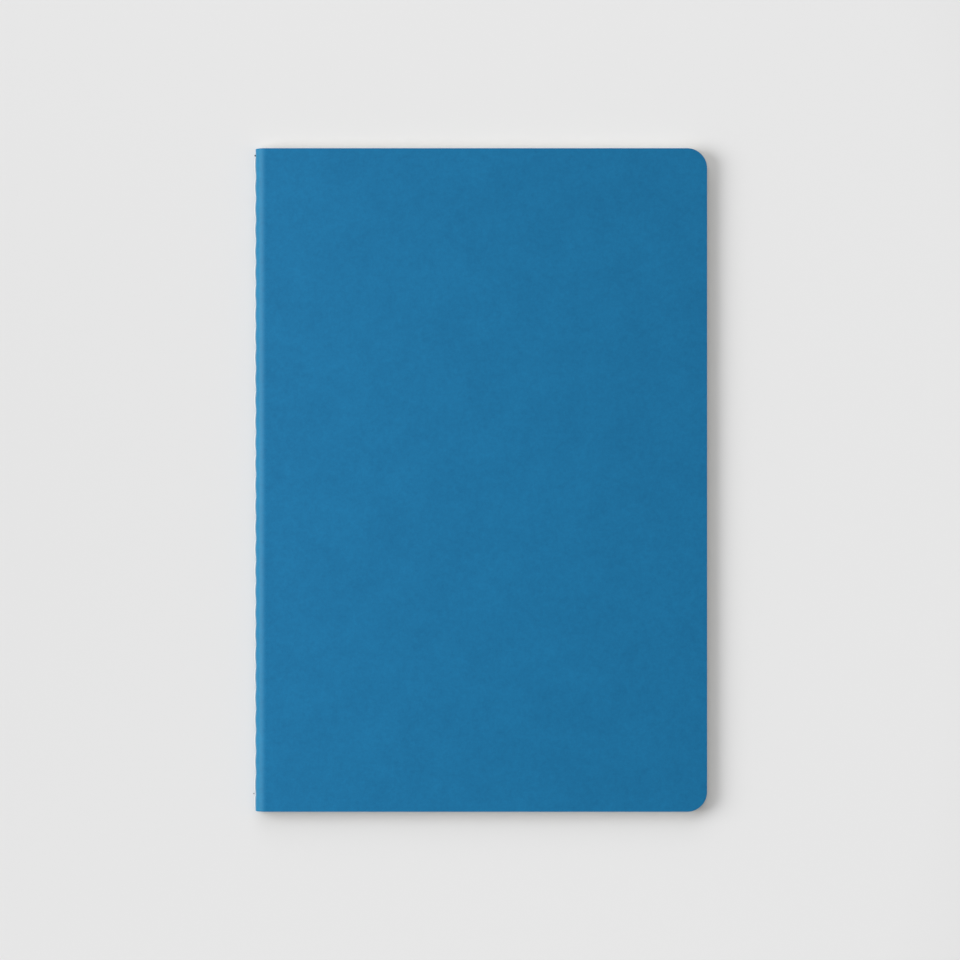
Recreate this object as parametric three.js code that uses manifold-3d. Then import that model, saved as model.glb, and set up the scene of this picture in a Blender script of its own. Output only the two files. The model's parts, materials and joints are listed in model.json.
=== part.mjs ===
// A thread-sewn notebook: folded paper sheets nested in a folded card cover, all sewn through the fold.
// Millimetres, +Z up. It lies closed on its back cover, with the spine on the -X side and the head on
// the +Y side. The origin is the middle of the base of the whole notebook.
import * as THREE from "three";
import { mergeVertices } from "three/addons/utils/BufferGeometryUtils.js";
import Module from "manifold-3d";

// Trimmed size.
const COVER_WIDTH = 143; // spine to fore edge
const COVER_HEIGHT = 210; // head to tail
const COVER_CORNER = 6.35; // radius of the cover's two fore corners
const LEAF_CORNER = 5.85; // the leaves keep a little more of theirs, which shows as a white hairline
const CORNER_STEPS = 8; // facets round a corner

// Stock.
const SHEETS = 20; // folded sheets, each of which gives two leaves
const PAPER = 0.1; // thickness of a sheet
const CARD = 0.4; // thickness of the cover

// Fold. Leaves and cover panels lie flat from FLAT_FROM outwards, measured from the fold's axis.
const FLAT_FROM = 1;
const FOLD_STEPS = 16; // facets round a fold
const GUTTER_MOUTH = 0.02; // the two innermost leaves all but touch where they leave the fold

// Sewing: one thread along the spine, one along the gutter, locked together in each needle hole.
const STITCH = 6.74; // distance between needle holes
const HEAD_MARGIN = 2.2; // head edge to the first hole
const TAIL_MARGIN = 2; // least distance from the last hole to the tail edge
const THREAD = 0.4; // diameter of both threads
const TAIL_TRIM = 1.4; // the spine thread's loose end is cut this far from the tail edge
const THREAD_PLAY = 0.1; // room between a thread and the stock that it runs along
const GUTTER_PLAY = 0.3; // room round the gutter thread
const HOLE_LENGTH = 2.4; // the pull of the thread draws each hole out along the spine
const HOLE_WIDTH = 0.9;
const SPINE_DIP = 0.65; // how far the spine thread sinks at a hole
const GUTTER_DIP = 0.45; // how far the gutter thread sinks at a hole
const DIP_SPREAD = 0.5; // half length of a dip along the spine
const NEEDLE_SIDES = 10; // facets round a needle hole
const THREAD_SIDES = 6;
const STEPS_PER_STITCH = 8;

// Colours.
const CARD_BLUE = 0x1e719e;
const PAPER_WHITE = 0xf4f2ea;
const THREAD_WHITE = 0xf1f1ee;

// Places that follow. The fold's axis is x = 0, z = MIDDLE until the whole notebook is centred.
const BLOCK_HALF = SHEETS * PAPER; // half the paper block
const MIDDLE = BLOCK_HALF + CARD;
const FORE_EDGE = COVER_WIDTH - MIDDLE;
const HEAD = COVER_HEIGHT / 2;
const STITCHES = Math.floor((COVER_HEIGHT - HEAD_MARGIN - TAIL_MARGIN) / STITCH);
const LOOSE_END = COVER_HEIGHT - HEAD_MARGIN - STITCHES * STITCH - TAIL_TRIM;
const SPINE_LINE = -(MIDDLE + THREAD_PLAY + THREAD / 2); // the spine thread between holes
const GUTTER_LINE = -0.15; // the gutter thread between holes
const GUTTER_HALF = THREAD / 2 + GUTTER_PLAY; // half height of the hollow that the gutter thread lies in
const GUTTER_END = GUTTER_LINE - THREAD / 2 - THREAD_PLAY; // where that hollow ends

const wasm = await Module();
wasm.setup();

const material = (color, roughness) =>
  new THREE.MeshStandardMaterial({ color, roughness, metalness: 0 });
const card = material(CARD_BLUE, 0.75);
const paper = material(PAPER_WHITE, 0.9);
const cotton = material(THREAD_WHITE, 0.85);

const notebook = new THREE.Group();

function addPiece(name, geometry, finish) {
  const mesh = new THREE.Mesh(geometry, finish);
  mesh.name = name;
  mesh.position.x = -(FORE_EDGE + SPINE_LINE - THREAD / 2) / 2;
  notebook.add(mesh);
}

// A height in the paper block, counted in sheets from the middle, positive towards the front.
function level(sheets) {
  return MIDDLE + sheets * PAPER;
}

// A flat panel of stock between two heights: square at the fold, round at the two fore corners.
function panel(corner, low, high) {
  const outline = new THREE.Shape();
  outline.moveTo(FLAT_FROM, -HEAD);
  outline.lineTo(FORE_EDGE - corner, -HEAD);
  outline.absarc(FORE_EDGE - corner, corner - HEAD, corner, -Math.PI / 2, 0);
  outline.absarc(FORE_EDGE - corner, HEAD - corner, corner, 0, Math.PI / 2);
  outline.lineTo(FLAT_FROM, HEAD);
  const geometry = new THREE.ExtrudeGeometry(outline, {
    depth: 1,
    bevelEnabled: false,
    curveSegments: CORNER_STEPS / 2,
  });
  const place = geometry.attributes.position;
  for (let i = 0; i < place.count; i++) place.setZ(i, place.getZ(i) < 0.5 ? low : high);
  return geometry;
}

// One side of a fold in section, from the front panel round the spine to the back panel. A fold whose
// half height is nearly nothing swells by the given bulge to leave room for the gutter thread.
function foldLine(reach, halfHeight, bulge) {
  const points = [];
  for (let i = 0; i <= FOLD_STEPS; i++) {
    const turn = (Math.PI * i) / FOLD_STEPS;
    const across = FLAT_FROM - (FLAT_FROM + reach) * Math.sin(turn);
    const up = halfHeight * Math.cos(turn) + bulge * Math.sin(2 * turn);
    points.push(new THREE.Vector2(across, MIDDLE + up));
  }
  return points;
}

// A strip of folded stock along the spine, between an outer and an inner fold line.
function foldStrip(outer, inner) {
  const section = new THREE.Shape([...outer, ...inner.slice().reverse()]);
  const geometry = new THREE.ExtrudeGeometry(section, { depth: COVER_HEIGHT, bevelEnabled: false });
  const across = new THREE.Vector3(1, 0, 0);
  const up = new THREE.Vector3(0, 0, 1);
  const tailwards = new THREE.Vector3(0, -1, 0);
  geometry.applyMatrix4(new THREE.Matrix4().makeBasis(across, up, tailwards));
  return geometry.translate(0, HEAD, 0);
}

function holePlace(index) {
  return HEAD - HEAD_MARGIN - index * STITCH;
}

function toSolid(geometry) {
  const bare = geometry.clone();
  bare.deleteAttribute("normal");
  bare.deleteAttribute("uv");
  const merged = mergeVertices(bare);
  const vertProperties = merged.attributes.position.array;
  const triVerts = new Uint32Array(merged.index.array);
  return new wasm.Manifold(new wasm.Mesh({ numProp: 3, vertProperties, triVerts }));
}

function toGeometry(solid) {
  const mesh = solid.getMesh();
  const places = new Float32Array(mesh.vertProperties);
  const geometry = new THREE.BufferGeometry();
  geometry.setAttribute("position", new THREE.BufferAttribute(places, 3));
  geometry.setIndex(new THREE.BufferAttribute(new Uint32Array(mesh.triVerts), 1));
  geometry.computeVertexNormals();
  return geometry;
}

// Pierces a folded strip with the row of needle holes, which run level from the spine to the gutter.
function pierce(geometry) {
  const depth = MIDDLE + THREAD;
  let solid = toSolid(geometry);
  for (let i = 0; i <= STITCHES; i++) {
    const needle = new THREE.CylinderGeometry(1, 1, 1, NEEDLE_SIDES);
    needle.rotateZ(Math.PI / 2);
    needle.scale(depth, HOLE_LENGTH / 2, HOLE_WIDTH / 2);
    needle.translate(GUTTER_END / 2 - depth / 2, holePlace(i), MIDDLE);
    solid = solid.subtract(toSolid(needle));
  }
  return toGeometry(solid);
}

// A thread's line: straight along the spine, with a dip at each needle hole, and then its loose end.
class StitchLine extends THREE.Curve {
  constructor(line, dip, looseEnd) {
    super();
    this.line = line;
    this.dip = dip;
    this.stitches = STITCHES + looseEnd / STITCH;
  }

  getPoint(t, target = new THREE.Vector3()) {
    const along = t * this.stitches;
    const nearest = Math.min(Math.round(along), STITCHES);
    const fromHole = (along - nearest) * STITCH;
    const sink = this.dip * Math.exp(-((fromHole / DIP_SPREAD) ** 2));
    return target.set(this.line + sink, holePlace(along), MIDDLE);
  }
}

function thread(line, dip, looseEnd) {
  const section = new THREE.Shape();
  section.absarc(0, 0, THREAD / 2, Math.PI / 2, 2.5 * Math.PI); // a corner of it faces the stock
  const path = new StitchLine(line, dip, looseEnd);
  const steps = Math.round(path.stitches * STEPS_PER_STITCH);
  path.arcLengthDivisions = steps * STEPS_PER_STITCH;
  return new THREE.ExtrudeGeometry(section, {
    steps,
    curveSegments: THREAD_SIDES / 2,
    extrudePath: path,
  });
}

// The leaves of each sheet, numbered from the middle of the notebook outwards.
for (let sheet = 1; sheet <= SHEETS; sheet++) {
  const number = String(sheet).padStart(2, "0");
  addPiece("rear_leaf_" + number, panel(LEAF_CORNER, level(-sheet), level(1 - sheet)), paper);
  addPiece("front_leaf_" + number, panel(LEAF_CORNER, level(sheet - 1), level(sheet)), paper);
}

// The sheets' folds, nested and sewn into one tight bundle round the gutter thread.
const coverInside = foldLine(BLOCK_HALF, BLOCK_HALF, 0);
const gutter = foldLine(-GUTTER_END, GUTTER_MOUTH, GUTTER_HALF);
addPiece("sheet_folds", pierce(foldStrip(coverInside, gutter)), paper);

// The cover is one folded card: a back panel, the strip round the spine and a front panel.
addPiece("back_cover", panel(COVER_CORNER, level(-SHEETS) - CARD, level(-SHEETS)), card);
addPiece("cover_spine", pierce(foldStrip(foldLine(MIDDLE, MIDDLE, 0), coverInside)), card);
addPiece("front_cover", panel(COVER_CORNER, level(SHEETS), level(SHEETS) + CARD), card);

// The two threads of the lockstitch.
addPiece("spine_thread", thread(SPINE_LINE, SPINE_DIP, LOOSE_END), cotton);
addPiece("gutter_thread", thread(GUTTER_LINE, -GUTTER_DIP, 0), cotton);

export default notebook;
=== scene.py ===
import json
import math
import bmesh
import bpy
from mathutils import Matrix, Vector


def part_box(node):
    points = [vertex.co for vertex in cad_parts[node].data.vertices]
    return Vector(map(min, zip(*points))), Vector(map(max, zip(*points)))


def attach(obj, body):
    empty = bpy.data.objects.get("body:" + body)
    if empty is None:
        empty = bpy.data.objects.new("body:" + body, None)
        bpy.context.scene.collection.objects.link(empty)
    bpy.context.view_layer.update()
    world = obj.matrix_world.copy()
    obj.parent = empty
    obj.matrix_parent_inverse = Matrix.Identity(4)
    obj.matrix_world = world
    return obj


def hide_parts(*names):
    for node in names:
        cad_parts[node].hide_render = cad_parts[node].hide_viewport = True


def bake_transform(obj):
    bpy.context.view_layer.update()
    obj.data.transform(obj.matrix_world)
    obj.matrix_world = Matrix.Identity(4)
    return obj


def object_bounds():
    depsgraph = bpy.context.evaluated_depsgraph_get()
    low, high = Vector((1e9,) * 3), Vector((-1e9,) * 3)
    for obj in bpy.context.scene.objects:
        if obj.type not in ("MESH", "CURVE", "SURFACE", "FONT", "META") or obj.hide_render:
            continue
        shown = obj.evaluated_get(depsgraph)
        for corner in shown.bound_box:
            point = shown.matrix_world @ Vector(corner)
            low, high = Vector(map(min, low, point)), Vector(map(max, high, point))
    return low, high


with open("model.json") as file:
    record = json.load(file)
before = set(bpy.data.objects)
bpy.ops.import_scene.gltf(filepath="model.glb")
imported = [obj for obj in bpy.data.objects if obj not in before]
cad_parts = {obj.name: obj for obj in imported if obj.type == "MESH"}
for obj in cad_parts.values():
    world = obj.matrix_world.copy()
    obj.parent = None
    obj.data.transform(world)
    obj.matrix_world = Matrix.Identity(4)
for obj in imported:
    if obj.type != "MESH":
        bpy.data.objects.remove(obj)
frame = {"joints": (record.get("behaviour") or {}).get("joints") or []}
cad_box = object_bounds()

# The notebook lies on a plain pale table. The camera looks straight down at it through a long lens,
# and its cover stands a little to the right of the middle of the picture.
MM = 0.001
PICTURE_WIDTH = 303.8 * MM
PICTURE_SHIFT = -0.36 * MM
CAMERA_HEIGHT = 1500 * MM
SENSOR_WIDTH = 36
spine_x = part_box("cover_spine")[0].x
fore_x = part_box("front_cover")[1].x
camera_x = (spine_x + fore_x) / 2 + PICTURE_SHIFT
bpy.ops.object.camera_add(location=(camera_x, 0, CAMERA_HEIGHT), rotation=(0, 0, 0))
camera = bpy.context.object
camera.data.sensor_width = SENSOR_WIDTH
camera.data.lens = SENSOR_WIDTH * (CAMERA_HEIGHT - cad_box[1][2]) / PICTURE_WIDTH
bpy.context.scene.camera = camera
bpy.context.scene.view_settings.view_transform = "Standard"

# A wide soft lamp stands to the left of the notebook, and a soft window lights it from the head. The
# room fills in the shade, most strongly from low down on the lamp's side.
LAMP_PLACE = (-530 * MM, 40 * MM, 470 * MM)
LAMP_AIM = (0, -60 * MM, 0)
LAMP_SIZE = 550 * MM
LAMP_POWER = 3.5
bpy.ops.object.light_add(type="AREA", location=LAMP_PLACE)
lamp = bpy.context.object
lamp.data.shape = "DISK"
lamp.data.size = LAMP_SIZE
lamp.data.energy = LAMP_POWER
lamp_ray = Vector(LAMP_AIM) - Vector(LAMP_PLACE)
lamp.rotation_euler = lamp_ray.to_track_quat("-Z", "Y").to_euler()

WINDOW_FROM = (-0.1, 0.77, 0.63)
WINDOW_SPREAD = math.radians(50)
WINDOW_POWER = 0.75
bpy.ops.object.light_add(type="SUN")
window = bpy.context.object
window.data.angle = WINDOW_SPREAD
window.data.energy = WINDOW_POWER
window.rotation_euler = Vector(WINDOW_FROM).to_track_quat("Z", "Y").to_euler()

ROOM_LIGHT = 0.55
ROOM_FALL = (0.2, 0, 0.22)


class Wire:
    """One output of a shader node. Sums and products of wires and numbers add Math nodes."""

    def __init__(self, tree, output=None):
        self.tree = tree
        self.output = output

    def node(self, kind, settings=None, inputs=None, output=0):
        """Adds a node, sets it up, then feeds its sockets with values or wires."""
        made = self.tree.nodes.new("ShaderNode" + kind)
        for name, value in (settings or {}).items():
            setattr(made, name, value)
        for name, value in (inputs or {}).items():
            if isinstance(value, Wire):
                self.tree.links.new(value.output, made.inputs[name])
            else:
                made.inputs[name].default_value = value
        return Wire(self.tree, made.outputs[output])

    def math(self, operation, first, second=0.0, clamped=False):
        settings = {"operation": operation, "use_clamp": clamped}
        return self.node("Math", settings, {0: first, 1: second})

    def __add__(self, other):
        return self.math("ADD", self, other)

    def __sub__(self, other):
        return self.math("SUBTRACT", self, other)

    def __rsub__(self, other):
        return self.math("SUBTRACT", other, self)

    def __mul__(self, other):
        return self.math("MULTIPLY", self, other)

    __radd__ = __add__
    __rmul__ = __mul__

    def ramp(self, start, end):
        """0 below start, 1 above end, and straight between them."""
        return self.math("MULTIPLY", self - start, 1 / (end - start), clamped=True)

    def noise(self, scale, detail=2.0, roughness=0.5):
        """Soft noise from 0 to 1 at the place that this wire gives."""
        inputs = {"Vector": self, "Scale": scale, "Detail": detail, "Roughness": roughness}
        return self.node("TexNoise", None, inputs)

    def mix(self, low, high):
        """The colour between two, by this wire."""
        return self.node("Mix", {"data_type": "RGBA"}, {0: self, 6: low, 7: high}, output=2)

    def feed(self, socket):
        self.tree.links.new(self.output, socket)


room = bpy.data.worlds.new("room")
room.use_nodes = True
bpy.context.scene.world = room
way = Wire(room.node_tree).node("TexCoord", output="Generated")
fall = way.node("VectorMath", {"operation": "DOT_PRODUCT"}, {0: way, 1: ROOM_FALL}, output=1)
(ROOM_LIGHT - fall).feed(room.node_tree.nodes["Background"].inputs["Strength"])
room.node_tree.nodes["Background"].inputs["Color"].default_value = (1, 1, 1, 1)

# The table's top is matt pale paper. It is graded, darker near the lamp and paler away from it, so
# that the ground looks even.
TABLE_SIZE = 6000 * MM
TABLE_GREY = 0.83
PALEST_GREY = 0.97
LAMP_SHARE = 0.38


def new_finish(name):
    """A material, its shader, and a wire with the place on the piece in millimetres."""
    finish = bpy.data.materials.new(name)
    finish.use_nodes = True
    tree = finish.node_tree
    place = Wire(tree).node("TexCoord", output="Object")
    place_mm = place.node("VectorMath", {"operation": "SCALE"}, {0: place, "Scale": 1 / MM})
    return finish, tree.nodes["Principled BSDF"], place_mm


table_finish, shader, place = new_finish("table_top")
ray = place.node("VectorMath", {"operation": "SUBTRACT"}, {0: place, 1: Vector(LAMP_PLACE) / MM})
distance = ray.node("VectorMath", {"operation": "LENGTH"}, {0: ray}, output=1)
facing = ray.node("VectorMath", {"operation": "DOT_PRODUCT"}, {0: ray, 1: lamp_ray / MM}, output=1)
centre_ray = -Vector(LAMP_PLACE) / MM
centre_light = centre_ray.dot(lamp_ray / MM) / centre_ray.length ** 4
lamp_light = facing * distance.math("POWER", distance, -4) * (LAMP_SHARE / centre_light)
light = lamp_light + (1 - LAMP_SHARE)
grey = light.math("DIVIDE", TABLE_GREY, light)
grey = grey.math("MINIMUM", grey, PALEST_GREY)
grey.mix((0, 0, 0, 1), (1, 1, 1, 1)).feed(shader.inputs["Base Color"])
shader.inputs["Roughness"].default_value = 0.9
shader.inputs["Specular IOR Level"].default_value = 0
bpy.ops.object.select_all(action="DESELECT")
bpy.ops.mesh.primitive_plane_add(size=TABLE_SIZE)
table = bpy.context.object
table.name = "table_top"
table.data.materials.append(table_finish)

# The cover is one sheet of dyed card, folded round the paper, trimmed with it, and rounded at the two
# fore corners. It is made here as two panels, which turn at their creases, and two halves of the
# strip round the spine, which meet along the line of sewing.
hinges = {hinge["name"]: hinge for hinge in frame["joints"]}
fold_x, _, fold_z = hinges["notebook_opens"]["pos_m"]
panel_low, panel_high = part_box("front_cover")
flat_x = panel_low.x
head_y = panel_high.y
card_thickness = panel_high.z - panel_low.z
COVER_CORNER = 6.35 * MM
CORNER_STEPS = 14
CARD_EDGE = 0.05 * MM
CARD_EDGE_STEPS = 2
CARD_AIR = 0.01 * MM
CREASE_BEND = 1.9 * MM
CREASE_CUTS = 12
# The painted highlight on the spine's fold grows over this width, from where the card lies flat towards
# the spine.
FOLD_HIGHLIGHT_WIDTH = 2.2 * MM
MOTTLE_PER_MM = 0.55
CLOUDS_PER_MM = 0.1
CLOUD_SHARE = 0.25
FIBRES_PER_MM = 4.5
FIBRE_SHARE = 0.4
SHARP_ANGLE = math.radians(60)
SMOOTH_ANGLE = math.radians(40)


def colour(red, green, blue):
    """A colour written as on screen, from 0 to 255, in the form that a node takes."""
    levels = [level / 255 for level in (red, green, blue)]
    linear = [v / 12.92 if v <= 0.04045 else ((v + 0.055) / 1.055) ** 2.4 for v in levels]
    return (*linear, 1)


def card_stock(name, with_painted_highlight):
    """The card's finish. Along the spine's fold it may carry a painted highlight, its blue made paler
    there.
    """
    finish, shader, place = new_finish(name)
    clouds = place.noise(CLOUDS_PER_MM) * CLOUD_SHARE
    mottle = place.noise(MOTTLE_PER_MM, detail=4, roughness=0.95) * (1 - CLOUD_SHARE) + clouds
    fibre = place.noise(FIBRES_PER_MM)
    shade = mottle.ramp(0.35, 0.65)
    blue = shade.mix(colour(0, 105, 153), colour(5, 117, 167))
    # Painted highlight: the blue is paler across the curve of the spine's fold, standing in for the light
    # it catches.
    if with_painted_highlight:
        across = place.node("SeparateXYZ", None, {0: place}, output=0)
        painted_highlight = across.ramp(flat_x / MM, (flat_x - FOLD_HIGHLIGHT_WIDTH) / MM)
        blue = painted_highlight.mix(blue, shade.mix(colour(5, 114, 156), colour(14, 126, 170)))
    blue.feed(shader.inputs["Base Color"])
    (0.36 + mottle * 0.2).feed(shader.inputs["Roughness"])
    shader.inputs["Specular IOR Level"].default_value = 0.24
    shader.inputs["Sheen Weight"].default_value = 0.2
    grain = mottle * (1 - FIBRE_SHARE) + fibre * FIBRE_SHARE
    bump = grain.node("Bump", None, {"Strength": 0.35, "Distance": 0.02 * MM, "Height": grain})
    bump.feed(shader.inputs["Normal"])
    return finish


card_finish = card_stock("cover_card", with_painted_highlight=False)
fold_finish = card_stock("cover_card_at_fold", with_painted_highlight=True)


def pick(piece, wanted):
    """In edit mode, selects the vertices whose place passes a test, with what lies between them."""
    bpy.ops.mesh.select_all(action="DESELECT")
    mesh = bmesh.from_edit_mesh(piece.data)
    for vertex in mesh.verts:
        vertex.select = wanted(vertex.co)
    mesh.select_flush(True)
    bmesh.update_edit_mesh(piece.data)


def cut_stock(name, height, corner):
    """A flat piece of stock with no thickness yet, in edit mode, with its fore corners rounded."""
    bpy.ops.object.select_all(action="DESELECT")
    middle = ((flat_x + fore_x) / 2, 0, height)
    bpy.ops.mesh.primitive_plane_add(size=1, location=middle)
    stock = bpy.context.object
    stock.name = name
    stock.scale = (fore_x - flat_x, 2 * head_y, 1)
    bpy.ops.object.transform_apply()
    bpy.ops.object.mode_set(mode="EDIT")
    pick(stock, lambda place: place.x > fore_x - corner)
    bpy.ops.mesh.bevel(offset=corner, segments=CORNER_STEPS, affect="VERTICES")
    return stock


def thicken(piece, thickness):
    """Gives a sheet its thickness, half to each side, and turns its faces outwards."""
    solid = piece.modifiers.new("thickness", "SOLIDIFY")
    solid.thickness = thickness
    solid.offset = 0
    bpy.ops.object.modifier_apply(modifier=solid.name)
    bpy.ops.object.mode_set(mode="EDIT")
    bpy.ops.mesh.select_all(action="SELECT")
    bpy.ops.mesh.normals_make_consistent(inside=False)
    bpy.ops.object.mode_set(mode="OBJECT")


def soften_trim(piece, trimmed):
    """Rounds the corners of the trimmed edges a little, so that they catch the light."""
    bpy.ops.object.mode_set(mode="EDIT")
    bpy.ops.mesh.select_all(action="DESELECT")
    mesh = bmesh.from_edit_mesh(piece.data)
    for edge in mesh.edges:
        sharp = edge.calc_face_angle(0) > SHARP_ANGLE
        edge.select = sharp and all(trimmed(vertex.co) for vertex in edge.verts)
    bmesh.update_edit_mesh(piece.data)
    bpy.ops.mesh.bevel(offset=CARD_EDGE, segments=CARD_EDGE_STEPS, affect="EDGES")
    bpy.ops.object.mode_set(mode="OBJECT")
    bpy.ops.object.shade_smooth_by_angle(angle=SMOOTH_ANGLE)


def cover_panel(name, node, side):
    """A panel of the cover, cut across where it bends at its crease."""
    height = fold_z + side * (panel_high.z - card_thickness / 2 - fold_z)
    panel = cut_stock(name, height, COVER_CORNER)
    for cut in range(1, CREASE_CUTS + 1):
        bpy.ops.mesh.select_all(action="SELECT")
        line = flat_x + CREASE_BEND * cut / CREASE_CUTS
        bpy.ops.mesh.bisect(plane_co=(line, 0, 0), plane_no=(1, 0, 0))
    bpy.ops.object.mode_set(mode="OBJECT")
    thicken(panel, card_thickness - 2 * CARD_AIR)
    soften_trim(panel, lambda place: place.x > flat_x + CARD_EDGE)
    panel.data.materials.append(card_finish)
    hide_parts(node)
    return panel


front_panel = cover_panel("cover_front_panel", "front_cover", 1)
back_panel = cover_panel("cover_back_panel", "back_cover", -1)
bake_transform(front_panel)
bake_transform(back_panel)

# The strip round the spine is pierced by the needle once per stitch. The thread draws the card in at
# each hole, so the spine's edge runs in shallow scallops.
STITCH = 6.74 * MM
HEAD_MARGIN = 2.2 * MM
HOLES = 31
HOLE_HALF_LENGTH = 1.1 * MM
HOLE_HALF_WIDTH = 0.28 * MM
PULL_DEPTH = 0.12 * MM
PULL_LENGTH = 2.2 * MM
PULL_WIDTH = 1.3 * MM
LOCK_HOLD = 0.35
DIMPLE_DEPTH = 0.05 * MM
DIMPLE_SIZE = 0.6 * MM
SPINE_EASE = 0.15 * MM
EASE_LENGTH = 1.4 * MM
STRIP_STEPS = 16
STRIP_LENGTHS = 500
first_hole = head_y - HEAD_MARGIN


def nearest_hole(along):
    """The number of the needle hole nearest to a place along the spine, from 0 at the head."""
    return min(max(round((first_hole - along) / STITCH), 0), HOLES - 1)


def from_hole(along):
    """How far a place along the spine is from the nearest needle hole."""
    return first_hole - nearest_hole(along) * STITCH - along


def pull(along):
    """How strongly the thread draws the card in, from 0 to 1. The first and last holes are slacker."""
    hold = LOCK_HOLD if nearest_hole(along) in (0, HOLES - 1) else 1
    return hold * math.exp(-((from_hole(along) / PULL_LENGTH) ** 4))


def ease_corners(piece):
    """Wears the spine's two corners down a little at the head and at the tail."""
    for vertex in piece.data.vertices:
        inset = max(0, (flat_x - vertex.co.x) / (flat_x - spine_x))
        end = max(0, 1 - (head_y - abs(vertex.co.y)) / EASE_LENGTH)
        vertex.co.y -= math.copysign(SPINE_EASE * inset ** 3 * end ** 2, vertex.co.y)


def spine_half(name, side):
    """Half of the strip round the spine, from the sewing line to where the card lies flat."""
    bpy.ops.object.select_all(action="DESELECT")
    bpy.ops.mesh.primitive_grid_add(x_subdivisions=STRIP_STEPS, y_subdivisions=STRIP_LENGTHS, size=1)
    strip = bpy.context.object
    strip.name = name
    reach = flat_x - spine_x - card_thickness / 2
    rise = panel_high.z - card_thickness / 2 - fold_z
    for vertex in strip.data.vertices:
        along = vertex.co.y * 2 * head_y
        opening = HOLE_HALF_WIDTH * max(0, 1 - (from_hole(along) / HOLE_HALF_LENGTH) ** 2)
        turn = math.acos(opening / rise) * (0.5 - vertex.co.x)
        across = flat_x - reach * math.sin(turn)
        vertex.co = (across, along, fold_z + side * rise * math.cos(turn))
    thicken(strip, card_thickness - 2 * CARD_AIR)
    for vertex in strip.data.vertices:
        outward = math.hypot((vertex.co.x - flat_x) / reach, (vertex.co.z - fold_z) / rise)
        if outward > 1:
            level = vertex.co.z - fold_z
            vertex.co.x += PULL_DEPTH * pull(vertex.co.y) * math.exp(-((level / PULL_WIDTH) ** 2))
            distance = math.hypot(from_hole(vertex.co.y), level)
            vertex.co.x += DIMPLE_DEPTH * math.exp(-((distance / DIMPLE_SIZE) ** 2))
    soften_trim(strip, lambda place: abs(place.y) > head_y - CARD_EDGE)
    ease_corners(strip)
    strip.data.materials.append(fold_finish)
    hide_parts("cover_spine")
    return strip


def bend_halves(front, rear, height, reach):
    """Bakes the placing of the two halves of a folded strip or sheet into their meshes."""
    past_x = 2 * (fold_x - reach) - flat_x
    front_line = fold_z + height
    rear_line = fold_z - height
    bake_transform(front)
    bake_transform(rear)


front_strip = spine_half("cover_front_spine", 1)
back_strip = spine_half("cover_back_spine", -1)
bend_halves(front_strip, back_strip, panel_high.z - fold_z, fold_x - spine_x)

# Twenty sheets of off-white writing paper, folded once and nested. Each is made as its front half and
# its rear half, which meet in the fold, and lies a hair from its neighbours.
SHEETS = 20
LEAF_CORNER = 5.85 * MM
LEAF_AIR = 0.025 * MM
GUTTER_REACH = 0.45 * MM
GUTTER_SWELL = 0.45 * MM
FOLD_STEPS = 14
LOOK_THROUGH_PER_MM = 0.25
LOOK_THROUGH_SHARE = 0.6
TOOTH_PER_MM = 6.0
leaf_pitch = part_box("front_leaf_20")[1].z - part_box("front_leaf_20")[0].z
block_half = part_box("front_leaf_20")[1].z - fold_z

paper_finish, shader, place = new_finish("leaf_paper")
look_through = place.noise(LOOK_THROUGH_PER_MM, detail=4, roughness=0.65)
tooth = place.noise(TOOTH_PER_MM)
pale = (look_through * LOOK_THROUGH_SHARE + tooth * (1 - LOOK_THROUGH_SHARE)).ramp(0.3, 0.7)
pale.mix(colour(243, 240, 231), colour(248, 246, 239)).feed(shader.inputs["Base Color"])
shader.inputs["Roughness"].default_value = 0.85
shader.inputs["Specular IOR Level"].default_value = 0.25
bump = tooth.node("Bump", None, {"Strength": 0.3, "Distance": 0.01 * MM, "Height": tooth})
bump.feed(shader.inputs["Normal"])


def half_sheet(name, side, height, reach, swell):
    """Half of a folded sheet: a flat leaf, drawn on round the fold to its apex."""
    leaf = cut_stock(name, fold_z + side * height, LEAF_CORNER)
    pick(leaf, lambda place: place.x < flat_x + LEAF_AIR)
    last = (flat_x, fold_z + side * height)
    for step in range(1, FOLD_STEPS + 1):
        turn = math.pi / 2 * step / FOLD_STEPS
        across = flat_x - (flat_x - fold_x + reach) * math.sin(turn)
        up = fold_z + side * (height * math.cos(turn) + swell * math.sin(2 * turn))
        move = (across - last[0], 0, up - last[1])
        bpy.ops.mesh.extrude_region_move(TRANSFORM_OT_translate={"value": move})
        last = (across, up)
    bpy.ops.object.mode_set(mode="OBJECT")
    thicken(leaf, leaf_pitch - LEAF_AIR)
    ease_corners(leaf)
    bpy.ops.object.shade_smooth_by_angle(angle=SMOOTH_ANGLE)
    leaf.data.materials.append(paper_finish)
    return leaf


for sheet in range(1, SHEETS + 1):
    number = f"{sheet:02d}"
    share = (sheet - 0.5) / SHEETS
    height = share * block_half
    reach = GUTTER_REACH + share * (block_half - GUTTER_REACH)
    swell = (1 - share) * GUTTER_SWELL
    front_half = half_sheet("sheet_front_half_" + number, 1, height, reach, swell)
    rear_half = half_sheet("sheet_rear_half_" + number, -1, height, reach, swell)
    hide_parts("front_leaf_" + number, "sheet_folds")
    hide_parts("rear_leaf_" + number, "sheet_folds")
    bend_halves(front_half, rear_half, height, reach)

# Two white sewing threads, each of two plies twisted together, run along the spine and along the
# gutter, and lock into each other in every needle hole.
PLY_RADIUS = 0.11 * MM
PLY_ROUNDING = 2
PLY_OFFSET = 0.09 * MM
PLY_TWIST = 0.9 * MM
STEPS_PER_TWIST = 9
FUZZ_PER_MM = 9.0
SPINE_DIVE = 0.7 * MM
GUTTER_DIVE = 0.6 * MM
GUTTER_LINE = 0.15 * MM
last_hole = first_hole - STITCH * (HOLES - 1)
loose_end = last_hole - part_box("spine_thread")[0].y

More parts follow.
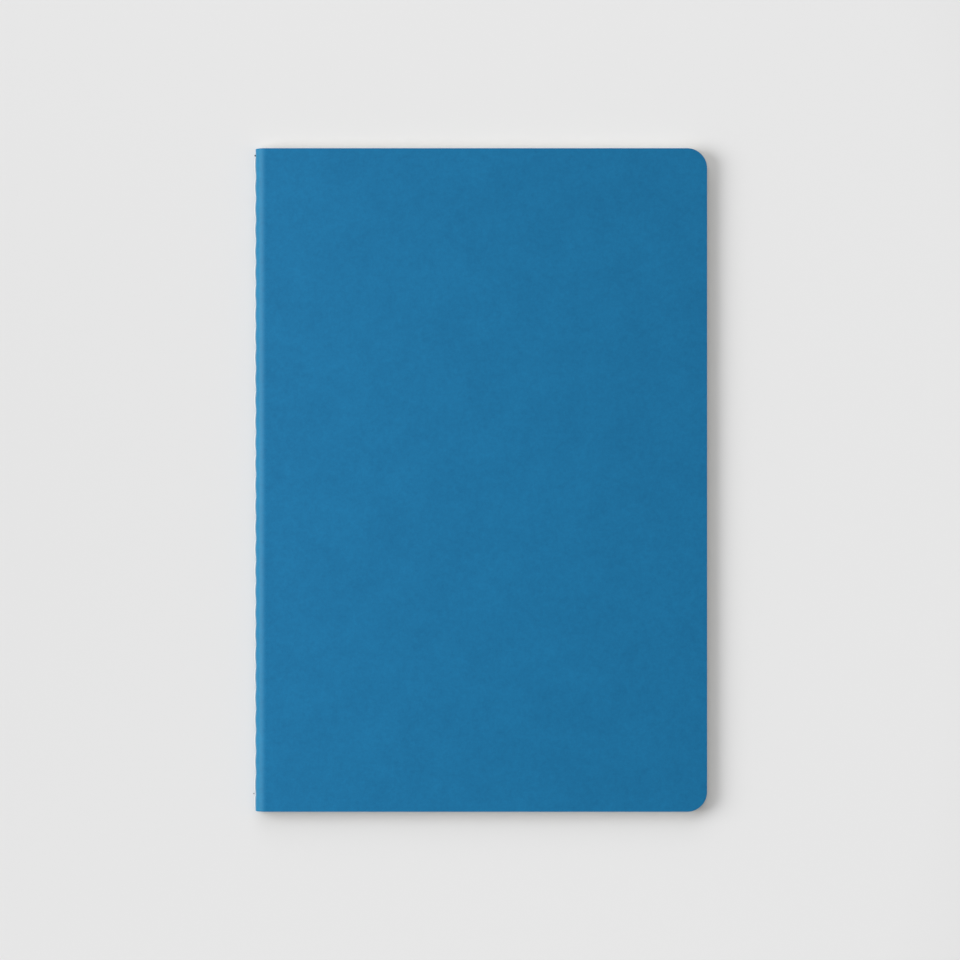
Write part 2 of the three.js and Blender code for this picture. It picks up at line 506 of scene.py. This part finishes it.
thread_finish, shader, place = new_finish("sewing_thread")
fuzz = place.noise(FUZZ_PER_MM, detail=3, roughness=0.6)
fuzz.mix(colour(232, 231, 226), colour(247, 247, 244)).feed(shader.inputs["Base Color"])
shader.inputs["Roughness"].default_value = 0.8
shader.inputs["Specular IOR Level"].default_value = 0.3
bump = fuzz.node("Bump", None, {"Strength": 0.5, "Distance": 0.02 * MM, "Height": fuzz})
bump.feed(shader.inputs["Normal"])


def make_tube(name, radius, rounding, lines, finish):
    """Tubes along lines of points, made one mesh, which rides on the sewn fold as all thread does."""
    curve = bpy.data.curves.new(name, "CURVE")
    curve.dimensions = "3D"
    curve.bevel_depth = radius
    curve.bevel_resolution = rounding
    curve.use_fill_caps = True
    for line in lines:
        spline = curve.splines.new("POLY")
        spline.points.add(len(line) - 1)
        for point, spot in zip(spline.points, line):
            point.co = (*spot, 1)
    tube = bpy.data.objects.new(name, curve)
    bpy.context.collection.objects.link(tube)
    bpy.ops.object.select_all(action="DESELECT")
    tube.select_set(True)
    bpy.context.view_layer.objects.active = tube
    bpy.ops.object.convert(target="MESH")
    tube = bpy.context.object
    bpy.ops.object.shade_smooth()
    tube.data.materials.append(finish)
    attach(tube, "sewn_fold")
    return tube


def thread_line(along, line_x, bed, plunge):
    """The middle of a thread: it lies on the stock, and dives into each needle hole."""
    dive = math.exp(-((2 * from_hole(along) / HOLE_HALF_LENGTH) ** 2))
    return line_x + bed * pull(along) + plunge * dive


def sew_thread(name, node, line_x, bed, plunge, tail):
    """A thread of two plies, each of which is a helix round the thread's line."""
    length = first_hole - last_hole + tail
    steps = round(length / PLY_TWIST * STEPS_PER_TWIST)
    plies = []
    for ply in range(2):
        line = []
        for step in range(steps + 1):
            along = first_hole - length * step / steps
            turn = 2 * math.pi * step / STEPS_PER_TWIST + math.pi * ply
            across = thread_line(along, line_x, bed, plunge) + PLY_OFFSET * math.cos(turn)
            line.append((across, along, fold_z + PLY_OFFSET * math.sin(turn)))
        plies.append(line)
    thread = make_tube(name, PLY_RADIUS, PLY_ROUNDING, plies, thread_finish)
    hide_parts(node)


thread_radius = PLY_RADIUS + PLY_OFFSET
spine_run = spine_x - thread_radius
gutter_run = fold_x - GUTTER_LINE
sew_thread("thread_along_spine", "spine_thread", spine_run, PULL_DEPTH, SPINE_DIVE, loose_end)
sew_thread("thread_along_gutter", "gutter_thread", gutter_run, 0, -GUTTER_DIVE, 0)

# Where the machine starts and stops, the thread is locked with a stitch in its own place. Each lock is a
# small tight coil, coloured dark.
COIL_RADIUS = 0.13 * MM
COIL_WIRE = 0.11 * MM
COIL_ROUNDING = 3
COIL_TURNS = 2
COIL_TUCK = 0.15
COIL_STEPS = 40
DARK_TONE_PER_MM = 7.0
HEAD_LOCK_SIZE = 1.4
HEAD_LOCK_OUT = 0.05 * MM
TAIL_LOCK_SIZE = 0.8
TAIL_LOCK_OUT = 0.55 * MM
dark_lock_finish, shader, place = new_finish("dark_lock_thread")
dark_tone = place.noise(DARK_TONE_PER_MM)
# The locks are coloured near black, between two dark tones at random.
dark_tone.mix(colour(38, 36, 34), colour(84, 80, 74)).feed(shader.inputs["Base Color"])
shader.inputs["Roughness"].default_value = 0.55
bump = dark_tone.node("Bump", None, {"Strength": 0.6, "Distance": 0.02 * MM, "Height": dark_tone})
bump.feed(shader.inputs["Normal"])


def lock_stitch(name, out, along, size):
    """A coil that fills to a bead, with its closed ends tucked in."""
    line = []
    for step in range(COIL_STEPS + 1):
        share = step / COIL_STEPS
        turn = 2 * math.pi * COIL_TURNS * share
        width = COIL_RADIUS * size * math.sin(math.pi * (COIL_TUCK + (1 - 2 * COIL_TUCK) * share))
        across = spine_x - out + width * math.cos(turn)
        line.append((across, along + COIL_WIRE * size * (2 * share - 1), fold_z + width * math.sin(turn)))
    make_tube(name, COIL_WIRE * size, COIL_ROUNDING, [line], dark_lock_finish)


lock_stitch("thread_lock_at_head", HEAD_LOCK_OUT, first_hole, HEAD_LOCK_SIZE)
lock_stitch("thread_lock_at_tail", TAIL_LOCK_OUT, last_hole, TAIL_LOCK_SIZE)
